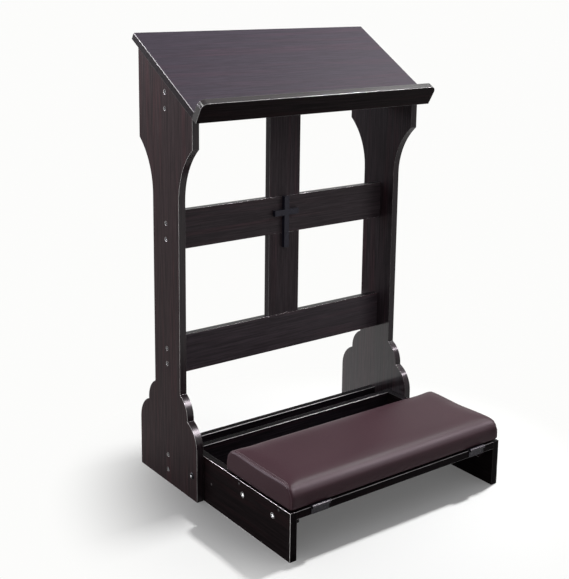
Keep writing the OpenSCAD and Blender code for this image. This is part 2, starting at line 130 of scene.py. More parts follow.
class Wire:  # a node's output that takes part in plain sums
    def __init__(self, finish, socket):
        self.finish, self.socket = finish, socket

    def sum(self, operation, first, second):
        return self.finish.node("ShaderNodeMath", {"operation": operation}, {0: first, 1: second})

    def __add__(self, other): return self.sum("ADD", self, other)
    def __radd__(self, other): return self.sum("ADD", other, self)
    def __sub__(self, other): return self.sum("SUBTRACT", self, other)
    def __rsub__(self, other): return self.sum("SUBTRACT", other, self)
    def __mul__(self, other): return self.sum("MULTIPLY", self, other)


class Nodes:  # a tree of nodes; node() adds any of them, with its settings first
    def node(self, kind, settings=None, sockets=None, output=0):
        made = self.tree.nodes.new(kind)
        for key, value in (settings or {}).items():
            if key == "stops":
                ramp = made.color_ramp.elements
                while len(ramp) < len(value):
                    ramp.new(0.5)
                for stop, (place, shade) in zip(ramp, value):
                    stop.position = place
                    stop.color = (*shade, 1) if hasattr(shade, "__len__") else (shade, shade, shade, 1)
            else:
                setattr(made, key, value)
        for key, value in (sockets or {}).items():
            for one in value if isinstance(value, list) else [value]:
                if isinstance(one, Wire):
                    self.tree.links.new(one.socket, made.inputs[key])
                elif one is not None:
                    made.inputs[key].default_value = one
        return Wire(self, made.outputs[output]) if made.outputs else None


class Finish(Nodes):  # one material
    def __init__(self, name, owner=None):
        self.material = owner or bpy.data.materials.new(name)
        self.material.use_nodes = True
        self.tree = self.material.node_tree
        self.tree.nodes.clear()

    def mix(self, share, first, second):
        first, second = ((*c, 1) if isinstance(c, tuple) else c for c in (first, second))
        return self.node("ShaderNodeMix", {"data_type": "RGBA"}, {0: share, 6: first, 7: second}, 2)

    def place(self, scale=(1, 1, 1), shift=(0, 0, 0)):
        point = self.node("ShaderNodeTexCoord", output="Object")
        return self.node("ShaderNodeMapping", None, {"Vector": point, "Scale": scale, "Location": shift})

    def placeAlong(self, grain, share, shift=(0, 0, 0)):  # stretched along the grain
        return self.place(tuple(share if axis == grain else 1 for axis in "xyz"), shift)

    def attribute(self, name):
        return self.node("ShaderNodeAttribute", {"attribute_name": name}, output="Fac")

    def noise(self, at, scale, detail=3, rough=0.55, bend=0):
        return self.node("ShaderNodeTexNoise", None, {
            "Vector": at, "Scale": scale, "Detail": detail, "Roughness": rough, "Distortion": bend})

    def ramp(self, value, *stops):
        return self.node("ShaderNodeValToRGB", {"stops": stops}, {"Fac": value})

    def bump(self, height, strength, distance):
        return self.node("ShaderNodeBump", None, {
            "Height": height, "Strength": strength, "Distance": distance})

    def surface(self, shader):
        self.node("ShaderNodeOutputMaterial", None, {"Surface": shader})
        return self.material

    def principled(self, **sockets):
        values = {k.replace("_", " "): (*v, 1) if isinstance(v, tuple) else v for k, v in sockets.items()}
        return self.surface(self.node("ShaderNodeBsdfPrincipled", None, values))


stageSettings = dict(
    floorRadius=9, floorSides=96,
    seenFloor=(0.95, 0.95, 0.94), realFloor=(0.24, 0.238, 0.235),  # as it is seen, and as it lights the rest
    middle=(0.02, -0.04, 0), plainFrom=0.29, plainTo=0.60, glow=0.09,  # where shadows fade into the backdrop
    backdrop=(0.975, 0.975, 0.965), lowAmbient=(0.215, 0.212, 0.212), highAmbient=(0.36, 0.363, 0.375),
)


def seenByEye(finish):  # 1 where the camera, a gloss or a clear body looks at it, 0 where it only lights
    path = finish.tree.nodes.new("ShaderNodeLightPath")
    kinds = ("Camera", "Glossy", "Transmission")
    eye, gloss, clear = (Wire(finish, path.outputs[f"Is {kind} Ray"]) for kind in kinds)
    return eye.sum("MAXIMUM", eye.sum("MAXIMUM", eye, gloss), clear)


def makeStage(s):
    world = bpy.data.worlds.new("studio")
    scene.world = world
    sky = Finish("studio", world)
    way = sky.node("ShaderNodeTexCoord", output="Generated")
    rise = sky.node("ShaderNodeSeparateXYZ", None, {0: way}, "Z")
    above = sky.node("ShaderNodeMapRange", None, {"Value": rise})
    color = sky.mix(seenByEye(sky), sky.mix(above, s["lowAmbient"], s["highAmbient"]), s["backdrop"])
    light = sky.node("ShaderNodeBackground", None, {"Color": color})
    sky.node("ShaderNodeOutputWorld", None, {"Surface": light})

    mesh = bmesh.new()
    bmesh.ops.create_circle(mesh, cap_ends=True, segments=s["floorSides"], radius=s["floorRadius"])
    floor = objectOf("floor", mesh)
    pale = Finish("pale_floor")
    point = pale.place(shift=tuple(-v for v in s["middle"]))
    reach = pale.node("ShaderNodeVectorMath", {"operation": "LENGTH"}, {0: point}, "Value")
    far = pale.node("ShaderNodeMapRange", {"interpolation_type": "SMOOTHSTEP"}, {
        "Value": reach, "From Min": s["plainFrom"], "From Max": s["plainTo"], "To Min": s["glow"]})
    seen = seenByEye(pale)
    matt = pale.node("ShaderNodeBsdfDiffuse", None, {"Color": pale.mix(seen, s["realFloor"], s["seenFloor"])})
    plain = pale.node("ShaderNodeEmission", None, {"Color": (*s["backdrop"], 1)})
    both = pale.node("ShaderNodeMixShader", None, {0: far * seen, 1: matt, 2: plain})
    floor.data.materials.append(pale.surface(both))
    return floor


lampSettings = dict(
    key=dict(at=(1.62, 0.05, 2.75), aim=(0, 0, 0.25), size=(0.24, 0.24), power=92),
    side=dict(at=(-1.7, 0.35, 2.2), aim=(-0.25, 0.1, 0.7), size=(0.8, 0.8), power=34, missFloor=True),
    frontGleam=dict(
        at=(1.56, -1.43, 2.2), aim=(0, -0.14, 0.3), size=(1.1, 1.1), power=190,
        color=(1, 0.9, 0.98), glossOnly=True),
    leftGleam=dict(
        at=(-1.35, 1.70, 1.44), aim=(-0.2, -0.1, 0.2), size=(1.0, 1.0), power=72,
        color=(0.94, 0.9, 1), glossOnly=True),
)


def makeLamps(lamps, floor):
    apart = bpy.data.collections.new("floor_alone")
    apart.objects.link(floor)
    apart.collection_objects[0].light_linking.link_state = "EXCLUDE"
    for name, s in lamps.items():
        data = bpy.data.lights.new(name, "AREA")
        data.shape = "RECTANGLE"
        data.size, data.size_y = s["size"]
        data.energy = s["power"]
        data.color = s.get("color", (1, 1, 1))
        lamp = newThing(name, data)
        away = Vector(s["at"]) - Vector(s["aim"])
        lamp.visible_diffuse = not s.get("glossOnly")
        if s.get("missFloor"):
            lamp.light_linking.receiver_collection = apart
        lamp.matrix_world = Matrix.Translation(s["at"]) @ away.to_track_quat("Z", "Y").to_matrix().to_4x4()


makeLamps(lampSettings, makeStage(stageSettings))
scene.view_settings.view_transform = "Standard"
print("camera, floor and lamps: made")


# Small helpers for meshes
flatWithin = math.radians(0.6)  # facets that lie closer to one plane than this become one face


def welded(name):
    mesh = bmesh.new()
    mesh.from_mesh(nodes[name].data)
    bmesh.ops.remove_doubles(mesh, verts=mesh.verts, dist=tiny)
    return mesh


def weldedCopy(name):
    mesh = welded(name)
    bmesh.ops.dissolve_limit(mesh, angle_limit=flatWithin, verts=mesh.verts, edges=mesh.edges)
    return mesh


def looseBoxes(name):  # lowest and highest corner of each loose part of a node
    mesh = welded(name)
    boxes, seen = [], set()
    for start in mesh.verts:
        part, todo = [], [start]
        while todo:
            point = todo.pop()
            if point not in seen:
                seen.add(point)
                part.append(point.co)
                todo += [edge.other_vert(point) for edge in point.link_edges]
        if part:
            boxes.append((Vector(map(min, zip(*part))), Vector(map(max, zip(*part)))))
    mesh.free()
    return sorted(boxes, key=lambda b: tuple(round(v, 4) for v in b[0]))


def plainMesh(name, thing):  # the mesh of an object with its modifiers applied
    graph = bpy.context.evaluated_depsgraph_get()
    graph.update()
    mesh = bpy.data.meshes.new_from_object(thing.evaluated_get(graph))
    mesh.name = name
    bpy.data.objects.remove(thing)
    return mesh


def paint(mesh, finish):
    mesh.materials.clear()
    mesh.materials.append(finish)


def putPiece(name, mesh, like, finish=None, stands=()):  # like: the node whose body it takes
    piece = newThing(name, mesh)
    if finish:
        paint(mesh, finish)
    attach(piece, nodes[like]["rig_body"])
    if stands:
        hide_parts(*stands)
    return piece


def weighted(name, mesh):  # flat faces stay flat, and rounded arrises shade smoothly
    thing = newThing(name, mesh)
    withModifier(thing, "WEIGHTED_NORMAL", keep_sharp=True)
    return plainMesh(name, thing)


def roundEdges(mesh, edges, radius, steps):
    made = bmesh.ops.bevel(
        mesh, geom=edges, offset=radius, segments=steps, profile=0.5, affect="EDGES", clamp_overlap=True)
    return made["faces"]


def sharpEdges(mesh, least):  # the edges that turn by an angle or more, each with its direction
    return [(e, (e.verts[1].co - e.verts[0].co).normalized()) for e in mesh.edges
            if e.is_manifold and e.calc_face_angle(0) >= least]


def shadeSmooth(mesh, upTo):  # smooth, except over edges that turn by more than an angle
    for face in mesh.faces:
        face.smooth = True
    for edge in mesh.edges:
        edge.smooth = not (edge.is_manifold and edge.calc_face_angle(0) > upTo)


class Maker(Nodes):  # a Geometry Nodes tree with named inputs
    def __init__(self, name, **sizes):
        self.name = name
        self.tree = bpy.data.node_groups.new(name, "GeometryNodeTree")
        face = self.tree.interface
        for way in ("INPUT", "OUTPUT"):
            face.new_socket("Geometry", in_out=way, socket_type="NodeSocketGeometry")
        face.new_socket("Material", in_out="INPUT", socket_type="NodeSocketMaterial")
        for label, value in sizes.items():
            kind = "NodeSocketInt" if isinstance(value, int) else "NodeSocketFloat"
            face.new_socket(label, in_out="INPUT", socket_type=kind).default_value = value
        self.group = self.tree.nodes.new("NodeGroupInput")

    def given(self, label):
        return Wire(self, self.group.outputs[label])

    def vector(self, x=0, y=0, z=0):
        return self.node("ShaderNodeCombineXYZ", None, {0: x, 1: y, 2: z})

    def moved(self, geometry, **how):
        return self.node("GeometryNodeTransform", None, {"Geometry": geometry, **how})

    def endOn(self, points, thing, turn):  # the thing on each point
        self.end(self.node("GeometryNodeInstanceOnPoints", None, {
            "Points": points, "Instance": thing, "Rotation": turn}))

    def curve(self):
        return self.node("GeometryNodeMeshToCurve", None, {"Mesh": self.given("Geometry")})

    def pointTurn(self):
        turn = self.node("GeometryNodeInputNamedAttribute", {"data_type": "FLOAT_VECTOR"}, {"Name": "turn"})
        return self.node("FunctionNodeEulerToRotation", None, {0: turn})

    def end(self, geometry):
        real = self.node("GeometryNodeRealizeInstances", None, {0: geometry})
        painted = self.node("GeometryNodeSetMaterial", None, {
            "Geometry": real, "Material": self.given("Material")})
        self.node("NodeGroupOutput", None, {"Geometry": painted})

    def run(self, name, thing, finish, **sizes):  # the plain mesh that the tree makes of a thing
        modifier = thing.modifiers.new(self.name, "NODES")
        modifier.node_group = self.tree
        values = dict(sizes, Material=finish)
        for socket in self.tree.interface.items_tree:
            if socket.in_out == "INPUT" and socket.name in values:
                modifier[socket.identifier] = values[socket.name]
        return plainMesh(name, thing)


def pointsThing(name, points, turns=None, lines=()):  # bare points, with turns or with lines through them
    data = bpy.data.meshes.new(name)
    data.from_pydata([tuple(p) for p in points], lines, [])
    if turns:
        layer = data.attributes.new("turn", "FLOAT_VECTOR", "POINT")
        for item, turn in zip(layer.data, turns):
            item.vector = turn
    return newThing(name, data)


# Dark wood. Noises are given as scale, detail, roughness and bend, and ramps by their stops.
woodSettings = dict(
    stretch=0.035, poreStretch=0.02,  # along the grain
    bands=(48, 2, 0.5, 0.35), bandStops=((0.51, 0), (0.63, 1)),
    streaks=(290, 3, 0.62, 0.2), streakStops=((0.36, 0), (0.66, 1)),
    pores=(1100, 2, 0.5), poreStops=((0.36, 1), (0.46, 0)),
    deep=(0.022, 0.0150, 0.0172), mid=(0.060, 0.041, 0.0455), red=(0.084, 0.031, 0.037),
    redInStreaks=0.5, redElsewhere=0.1, poreCover=0.5, poreShade=0.5,
    # arris: the pale colour of the rounded arrises, a painted highlight broken up by the wear noise
    arris=(0.93, 0.91, 0.91), wear=(55, 2), wearStops=((0.35, 0.75), (0.6, 1)),
    edgeTint=(0.024, 0.017, 0.021), edgeRough=0.30, roughSpread=0.10,
    bump=0.20, bumpDepth=0.00025, streakRise=0.5, poreSink=0.5,
    polishTop=0.45,  # the part of the lower rail's height over which the inner faces' polish starts to end
)


def woodFinish(name, board):
    s = woodSettings
    wood = Finish(name + "_wood")
    grain, shift, light = board["grain"], board["shift"], board["light"]
    at = wood.placeAlong(grain, s["stretch"], shift)
    streakMask = wood.ramp(wood.noise(at, *s["streaks"]), *s["streakStops"])
    bandMask = wood.ramp(wood.noise(at, *s["bands"]), *s["bandStops"])
    pores = wood.noise(wood.placeAlong(grain, s["poreStretch"], shift), *s["pores"])
    poreMask = wood.ramp(pores, *s["poreStops"])
    # light scales a board's whole colour: painted light and shade, set board by board
    deep, mid, red = (
        tuple(light * t * (c + board["calm"] * (m - c)) for c, m, t in zip(s[key], s["mid"], board["tint"]))
        for key in ("deep", "mid", "red"))
    color = wood.mix(streakMask, deep, mid)
    color = wood.mix(bandMask * (streakMask * s["redInStreaks"] + s["redElsewhere"]), color, red)
    color = wood.mix(poreMask * s["poreCover"], color, tuple(s["poreShade"] * c for c in deep))
    # the narrow faces get a darker colour: an edge band, darkened further as painted shade where the lamps
    # light them from above
    edge = wood.attribute("edge")
    edgeCover, edgeLight = board["edgeShade"]
    color = wood.mix(edge * edgeCover, color, tuple(edgeLight * light * c for c in s["edgeTint"]))
    # the rounded arrises are painted pale as a highlight, broken up by a wear noise, and weaker on the side
    # away from the lamps
    rounded = wood.attribute("arris")
    arrisWearAndHighlight = rounded * wood.ramp(wood.noise(wood.place(), *s["wear"]), *s["wearStops"])
    color = wood.mix(arrisWearAndHighlight * board["arris"], color, s["arris"])
    dull = board["rough"] - s["roughSpread"] * 0.5 + streakMask * s["roughSpread"]
    dull = dull - edge * (board["rough"] - s["edgeRough"])
    relief = streakMask * s["streakRise"] - poreMask * s["poreSink"]
    coated = edge * board["coat"]
    if board["polish"]:  # below the lower rail the panels' inner faces have kept their polish
        low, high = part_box("lower_rail")
        height = wood.node("ShaderNodeSeparateXYZ", None, {"Vector": wood.place()}, "Z")
        kept = wood.ramp(height, (low.z + s["polishTop"] * (high.z - low.z), 1), (high.z, 0))
        coated = coated + kept * wood.attribute("inner") * board["polish"]
    return wood.principled(
        Base_Color=color, Roughness=dull, Metallic=arrisWearAndHighlight * board["glint"], Specular_IOR_Level=board["sheen"],
        Coat_Weight=coated, Coat_Roughness=board["coatRough"],
        Normal=wood.bump(relief * (1 - rounded), s["bump"], s["bumpDepth"]))


deskSlope = math.radians(30.5)
deskUp = Vector((0, -math.sin(deskSlope), math.cos(deskSlope)))
deskFront = Vector((0, -math.cos(deskSlope), -math.sin(deskSlope)))
boardDefaults = dict(
    keep=None,  # which arrises are rounded, by their direction; None for all
    lit=None,  # the side toward the lamps, on which the arrises get the painted highlight; None for all
    inner=None, polish=0,  # the normal of the polished face and its coat
    round=1.2 * mm, tint=(1, 1, 1),
    calm=0.1,  # how much of the grain's contrast is taken out
    rough=0.42, sheen=0.04,  # sheen: the specular level
    arris=1.0, glint=0.3,  # how much painted highlight (pale colour, broken up by wear) and how metallic the arrises are
    edgeShade=(0.6, 1), coat=0, coatRough=0.24,  # the narrow faces: an edge band's darker colour, made darker still as painted shade (its cover and lightness), and their gloss
)
rail = dict(grain="x", flat=along, keep=across)
lowRail = dict(rail, sheen=0.012, glint=0.12, lit=-along, edgeShade=(0.95, 0.3), tint=(1, 1.1, 1.3))
openRail = dict(
    rail, calm=0.3, light=1.35, sheen=0.10, glint=0.35, tint=(1, 1.14, 1.16), edgeShade=(0.95, 0.25))
slat = dict(
    grain="z", flat=along, keep=upright, calm=0.35, light=1.35, sheen=0.08, arris=0.3, glint=0.05,
    round=0.8 * mm, tint=(1, 1.14, 1.16))
kneelerSide = dict(grain="y", flat=across, light=0.26, sheen=0.015, edgeShade=(0.8, 0.7))
# light: each board's lightness, set to the light it gets, so it holds painted light and shade: boards that
# face away from the lamps, such as rails and slats, are made lighter and others darker
boardSettings = {  # flat: the normal of the broad faces
    "left_side_panel": dict(
        grain="z", flat=across, shift=(0.3, 0.1, 0), light=0.79, tint=(1.02, 0.94, 0.93), arris=0.95,
        glint=0.45, coat=0.5, lit=-across, inner=across, polish=0.9),
    "right_side_panel": dict(
        grain="z", flat=across, shift=(1.3, 0.7, 0), light=0.9, tint=(1, 1.08, 1.14), arris=0.45,
        glint=0.2, coat=0.3, coatRough=0.12, inner=-across, polish=0.9),
    "desk_board": dict(
        grain="x", flat=deskUp, shift=(0, 2.1, 0.4), rough=0.56, light=0.8, calm=0.45, glint=0.12, sheen=0.05,
        tint=(1, 1.16, 1.46), arris=0.5, round=0.9 * mm, lit=deskUp, edgeShade=(0.9, 0.7)),
    "desk_ledge": dict(
        grain="x", flat=deskFront, shift=(0.5, 3.7, 1), sheen=0.02, light=0.36, coat=0.8, coatRough=0.16,
        arris=0.4, glint=0.05, round=0.8 * mm, lit=deskFront),
    "top_rail": dict(openRail, shift=(0, 4.2, 0.3)),
    "cross_rail": dict(openRail, shift=(0.2, 5.1, 0.6), lit=-along),
    "lower_rail": dict(
        openRail, shift=(0.6, 6.3, 1.2), lit=-along, light=1.7, sheen=0.12, tint=(1, 1.16, 1.22)),
    "bottom_rail": dict(lowRail, shift=(0.8, 7.7, 0.2), light=0.6, round=0.8 * mm),
    "upper_slat": dict(slat, shift=(8.1, 0.3, 0)),
    "lower_slat": dict(slat, shift=(9.4, 0.5, 0)),
    "kneeler_side_left": dict(kneelerSide, shift=(10.2, 0, 0.3), round=1.4 * mm, glint=0.9, lit=-across),
    "kneeler_side_right": dict(
        kneelerSide, shift=(11.5, 0, 0.8), arris=0.3, glint=0.1, round=0.8 * mm, lit=across),
    "kneeler_rear_rail": dict(lowRail, shift=(0, 12.5, 0.8), light=0.42, arris=0.8, round=0.6 * mm),
    "kneeler_deck": dict(
        grain="x", flat=upright, keep=across, shift=(0.4, 13.6, 0.1), light=0.26, sheen=0.012,
        glint=0.04, arris=0.5, round=0.7 * mm),
    "deck_cleats": dict(grain="y", flat=upright, keep=along, shift=(14.3, 0, 0.2), light=0.4),
}
roundSettings = dict(
    steps=3, sharpFrom=math.radians(30), slack=0.1, holeEdge=0.6 * mm,  # shorter edges are those of holes
    parallel=0.9, narrowTo=0.5, litFrom=0.1,  # limits of the product of two directions
    unlit=0.25,  # how much of the painted highlight the arrises keep on the side away from the lamps
)


def softBoard(name, board):  # a board's own solid with its arrises rounded
    s = roundSettings
    keep, lit, inner = board["keep"], board["lit"], board["inner"]
    mesh = weldedCopy(name)
    rounded = mesh.faces.layers.float.new("arris")
    narrow = mesh.faces.layers.float.new("edge")
    polished = mesh.faces.layers.float.new("inner")
    picked = [
        edge for edge, run in sharpEdges(mesh, s["sharpFrom"])
        if edge.calc_length() >= s["holeEdge"] and (keep is None or abs(run.dot(keep)) > s["parallel"])]
    made = roundEdges(mesh, picked, board["round"], s["steps"])
    mesh.normal_update()
    # arrises on the side toward the lamps get the full painted highlight, the others only part of it
    for face in made:
        face[rounded] = 1 if lit is None or face.normal.dot(lit) > s["litFrom"] else s["unlit"]
    for face in mesh.faces:
        if abs(face.normal.dot(board["flat"])) < s["narrowTo"]:
            face[narrow] = 1
        if inner is not None and face.normal.dot(inner) > s["parallel"]:
            face[polished] = 1
    shadeSmooth(mesh, s["sharpFrom"] + s["slack"])
    return weighted("soft_" + name, newMesh(name, mesh))


for name, own in boardSettings.items():
    board = {**boardDefaults, **own}
    putPiece("wood_" + name, softBoard(name, board), name, woodFinish(name, board), [name])
print("boards:", len(boardSettings))


# Steel, rubber, plastic and hidden wood
metalSettings = dict(
    detail=3, detailRough=0.6, spotStops=((0.35, 0), (0.7, 1)), leastRough=0.8, roughSpread=0.4,
    bumpDepth=0.0002)
grainSettings = dict(
    stretch=0.05, noise=(240, 4, 0.6, 0.3), stops=((0.35, 0), (0.65, 1)), bump=0.2, bumpDepth=0.0003)


def metalFinish(name, color, rough, metallic=1.0, spots=0.3, scale=260, bump=0.05, worn=None, gloss=0.5):
    s = metalSettings
    metal = Finish(name)
    cloud = metal.noise(metal.place(), scale, s["detail"], s["detailRough"])
    mask = metal.ramp(cloud, *s["spotStops"])
    shade = metal.mix(mask, tuple(c * (1 - spots) for c in color), color)
    if worn:  # a paler colour painted as a glint or highlight on the marked faces: screw and bolt recesses and hinge arrises
        shade = metal.mix(metal.attribute("worn"), shade, worn)
    dull = rough * s["leastRough"] + mask * (rough * s["roughSpread"])
    return metal.principled(
        Base_Color=shade, Metallic=metallic, Roughness=dull, Specular_IOR_Level=gloss,
        Normal=metal.bump(cloud, bump, s["bumpDepth"]))


def grainFinish(name, dark, light, grain, rough=0.6):
    s = grainSettings
    wood = Finish(name)
    mask = wood.ramp(wood.noise(wood.placeAlong(grain, s["stretch"]), *s["noise"]), *s["stops"])
    return wood.principled(
        Base_Color=wood.mix(mask, dark, light), Roughness=rough,
        Normal=wood.bump(mask, s["bump"], s["bumpDepth"]))


finishes = dict(
    # the last colour of a steel is its painted glint, on the faces marked worn
    railSteel=metalFinish("blackened_rail_screws", (0.018, 0.018, 0.020), 0.30, worn=(0.30, 0.30, 0.31)),
    screwSteel=metalFinish("blackened_screw_steel", (0.020, 0.020, 0.022), 0.30, worn=(0.95, 0.95, 0.96)),
    darkSteel=metalFinish("dull_screw_steel", (0.040, 0.038, 0.040), 0.42, worn=(0.16, 0.155, 0.16)),
    bracketSteel=metalFinish("bracket_zinc", (0.56, 0.57, 0.59), 0.4),
    hingeSteel=metalFinish(
        "hinge_coating", (0.028, 0.0235, 0.034), 0.36, 0.0, 0.5, 420, 0.3, (0.16, 0.145, 0.17), 0.2),
    dowelWood=grainFinish("dowel_beech", (0.36, 0.22, 0.11), (0.52, 0.36, 0.20), "z"),
    plywood=grainFinish("pad_plywood", (0.24, 0.155, 0.095), (0.36, 0.25, 0.165), "x", 0.7),
    rubber=metalFinish("bumper_rubber", (0.022, 0.022, 0.024), 0.75, 0.0, 0.3, 900, 0.2),
    plug=metalFinish("plug_plastic", (0.035, 0.027, 0.030), 0.45, 0.0, 0.2, 700, 0.1),
    cross=metalFinish("cross_paint", (0.027, 0.0255, 0.044), 0.42, 0.0, 0.3, 300, 0.1, gloss=0.18),
)
for name, finish in {
    "slat_dowels": "dowelWood", "ledge_dowels": "dowelWood", "desk_brackets": "bracketSteel",
    "bracket_screws": "bracketSteel", "pivot_washers": "bracketSteel", "pivot_nuts": "bracketSteel",
    "side_plugs": "plug", "hinge_pins": "darkSteel", "hinge_moving_screws": "darkSteel",
    "pad_board": "plywood", "pad_bumpers": "rubber", "cross_ornament": "cross",
}.items():
    paint(nodes[name].data, finishes[finish])
print("fittings: finished")


# Butt hinge leaves with rounded corners
leafSettings = dict(
    corner=(2.6 * mm, 5), arris=(0.5 * mm, 2), shortest=0.5 * mm,  # radius and steps
    sharpFrom=math.radians(60), smoothTo=math.radians(50), parallel=0.9)


def softLeaf(name, flat, s):  # flat: the axis that the leaf is thin along
    mesh = weldedCopy(name)
    worn = mesh.faces.layers.float.new("worn")
    for (radius, steps), corners in ((s["corner"], True), (s["arris"], False)):
        picked = [
            edge for edge, run in sharpEdges(mesh, s["sharpFrom"])
            if (abs(run[flat]) > s["parallel"]) == corners and edge.calc_length() > s["shortest"]]
        # the leaves' rounded arrises are marked for a painted highlight
        for face in roundEdges(mesh, picked, radius, steps):
            face[worn] = 0 if corners else 1
    shadeSmooth(mesh, s["smoothTo"])
    return weighted("soft_" + name, newMesh(name, mesh))


for name, flat in (("hinge_fixed_leaves", 1), ("hinge_moving_leaves", 2)):
    putPiece("made_" + name, softLeaf(name, flat, leafSettings), name, finishes["hingeSteel"], [name])
print("hinge leaves: made")


# Countersunk screws with a cross recess, one on each point, pointing along the point's own Z
screwShape = dict(
    bars=((0, 2), (math.pi / 2, 2.2)),  # turn of each bar of the recess, and its height in recess depths
    overlap=0.7,  # how far up the head the shank starts, so that no two faces lie in one plane
    facets=28, tip=0.35, sunk=0.15 * mm, recess=0.2,  # recess: its depth as a share of the head's radius
    spinStart=0.35, spinEach=1.9, spinSet=0.7,  # no two recesses line up
)


def makeScrewTree(s):
    sizes = ("Head Radius", "Head Height", "Shank Radius", "Length", "Slot Width", "Slot Span", "Slot Depth")
    maker = Maker("countersunk_screws", Facets=s["facets"], Sunk=s["sunk"], **dict.fromkeys(sizes, mm))
    given = maker.given
    head = maker.node("GeometryNodeMeshCone", None, {
        "Vertices": given("Facets"), "Radius Top": given("Shank Radius"),
        "Radius Bottom": given("Head Radius"), "Depth": given("Head Height")})
    for turn, reach in s["bars"]:
        bar = maker.node("GeometryNodeMeshCube", None, {
            "Size": maker.vector(given("Slot Span"), given("Slot Width"), given("Slot Depth") * reach)})
        bar = maker.moved(bar, Rotation=(0, 0, turn))
        # the recess's faces are marked for a painted glint
        bar = maker.node("GeometryNodeStoreNamedAttribute", {"data_type": "FLOAT", "domain": "FACE"}, {
            "Geometry": bar, "Name": "worn", "Value": 1.0})
        head = maker.node("GeometryNodeMeshBoolean", {"operation": "DIFFERENCE"}, {0: head, 1: bar})
    start = given("Head Height") * s["overlap"]
    shank = maker.node("GeometryNodeMeshCone", None, {
        "Vertices": given("Facets"), "Radius Top": given("Shank Radius") * s["tip"],
        "Radius Bottom": given("Shank Radius"), "Depth": given("Length") - start})
    shank = maker.moved(shank, Translation=maker.vector(z=start))
    both = maker.node("GeometryNodeJoinGeometry", None, {0: [head, shank]})
    both = maker.moved(both, Translation=maker.vector(z=given("Sunk")))
    maker.endOn(given("Geometry"), both, maker.pointTurn())
    return maker


screwTree = makeScrewTree(screwShape)
boardScrew = dict(axis=0, shank=0.625, slot=0.44, span=1.36, finish="railSteel")
smallScrew = dict(shank=0.5, slot=0.42, span=1.32)
screwSettings = {  # axis that they point along, shank radius and slot width as shares of the head's radius
    "rail_screws": boardScrew,
    "deck_screws": dict(boardScrew, shank=0.667, finish="darkSteel"),
    "cleat_screws": dict(smallScrew, axis=0, finish="screwSteel"),
    "rear_rail_screws": boardScrew,
    "hinge_fixed_screws": dict(smallScrew, axis=1, finish="hingeSteel"),
    "hinge_moving_screws": dict(smallScrew, axis=2, finish="darkSteel"),
}
for number, (name, s) in enumerate(screwSettings.items()):
    points, turns, axis = [], [], s["axis"]
    for count, (low, high) in enumerate(looseBoxes(name)):
        inward = -1 if axis == 0 and low.x > 0 else 1
        point = (low + high) / 2
        point[axis] = low[axis] if inward > 0 else high[axis]
        aim = Vector((0, 0, 0))
        aim[axis] = inward
        spin = screwShape["spinStart"] + screwShape["spinEach"] * count + screwShape["spinSet"] * number
        points.append(point)
        turns.append((aim.to_track_quat("Z", "Y") @ Euler((0, 0, spin)).to_quaternion()).to_euler())
    long = (high - low)[axis]  # the screws of a set are all alike
    radius = (high - low)[(axis + 1) % 3] / 2
    spots = pointsThing(name + "_points", points, turns)
    mesh = screwTree.run("made_" + name, spots, finishes[s["finish"]], **{
        "Head Radius": radius, "Shank Radius": radius * s["shank"], "Head Height": radius * (1 - s["shank"]),
        "Length": long - screwShape["sunk"], "Slot Width": radius * s["slot"],
        "Slot Span": radius * s["span"], "Slot Depth": radius * screwShape["recess"]})
    putPiece("made_" + name, mesh, name, None, [name])
print("screws: made", len(screwSettings), "sets")


# The pivot bolts' domed heads, each turned on its axis with a six-sided recess
boltSettings = dict(
    radius=7 * mm, rise=3 * mm, steps=8, sides=48, domeFrom=18,  # degrees from the axis
    recess=2.3 * mm, recessDepth=1.8 * mm, recessFloor=0.92, lip=0.1 * mm,
    neck=0.97, sunk=0.05 * mm,  # the head ends inside the panel, so that no two faces lie in one plane
    smoothTo=math.radians(32),
)


def boltHead(mesh, origin, outward, s, worn):
    turn = outward.to_track_quat("Z", "Y").to_matrix()
    sides, corner = s["sides"], math.radians(30)  # corner: half the angle of one side of the recess
    rings = [
        (s["recess"] * s["recessFloor"], s["rise"] - s["recessDepth"], True),
        (s["recess"], s["rise"] - s["lip"], True)]
    for k in range(s["steps"] + 1):
        angle = math.radians(s["domeFrom"] + (90 - s["domeFrom"]) * k / s["steps"])
        rings.append((s["radius"] * math.sin(angle), s["rise"] * math.cos(angle), False))
    rings.append((s["radius"] * s["neck"], -s["sunk"], False))
    made = []
    for radius, rise, sixSided in rings:
        ring = []
        for k in range(sides):
            angle = math.radians(360 * k / sides)
            flat = math.cos(corner) / math.cos(angle % (2 * corner) - corner) if sixSided else 1
            place = Vector((radius * flat * math.cos(angle), radius * flat * math.sin(angle), rise))
            ring.append(mesh.verts.new(origin + turn @ place))
        made.append(ring)
    # the socket's floor and walls are marked for a painted glint
    mesh.faces.new(made[0])[worn] = 1
    for step, (inner, outer) in enumerate(zip(made, made[1:])):
        for k in range(sides):
            after = (k + 1) % sides
            face = mesh.faces.new((inner[k], inner[after], outer[after], outer[k]))
            face[worn] = 1 if step < 2 else 0
    mesh.faces.new(reversed(made[-1]))


def pivotBolts(s):  # the bolts' own shanks, with made heads
    mesh = weldedCopy("pivot_bolts")
    worn = mesh.faces.layers.float.new("worn")
    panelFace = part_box("right_side_panel")[1].x
    bmesh.ops.delete(mesh, geom=[v for v in mesh.verts if abs(v.co.x) > panelFace + tiny], context="VERTS")
    for side, (low, high) in zip((-1, 1), looseBoxes("pivot_bolts")):
        middle = (low + high) / 2
        boltHead(mesh, Vector((side * panelFace, middle.y, middle.z)), side * across, s, worn)
    bmesh.ops.holes_fill(mesh, edges=mesh.edges)
    bmesh.ops.recalc_face_normals(mesh, faces=mesh.faces)
    shadeSmooth(mesh, s["smoothTo"])
    return newMesh("made_pivot_bolts", mesh)


putPiece(
    "made_pivot_bolts", pivotBolts(boltSettings), "pivot_bolts", finishes["screwSteel"], ["pivot_bolts"])
print("pivot bolts: made")


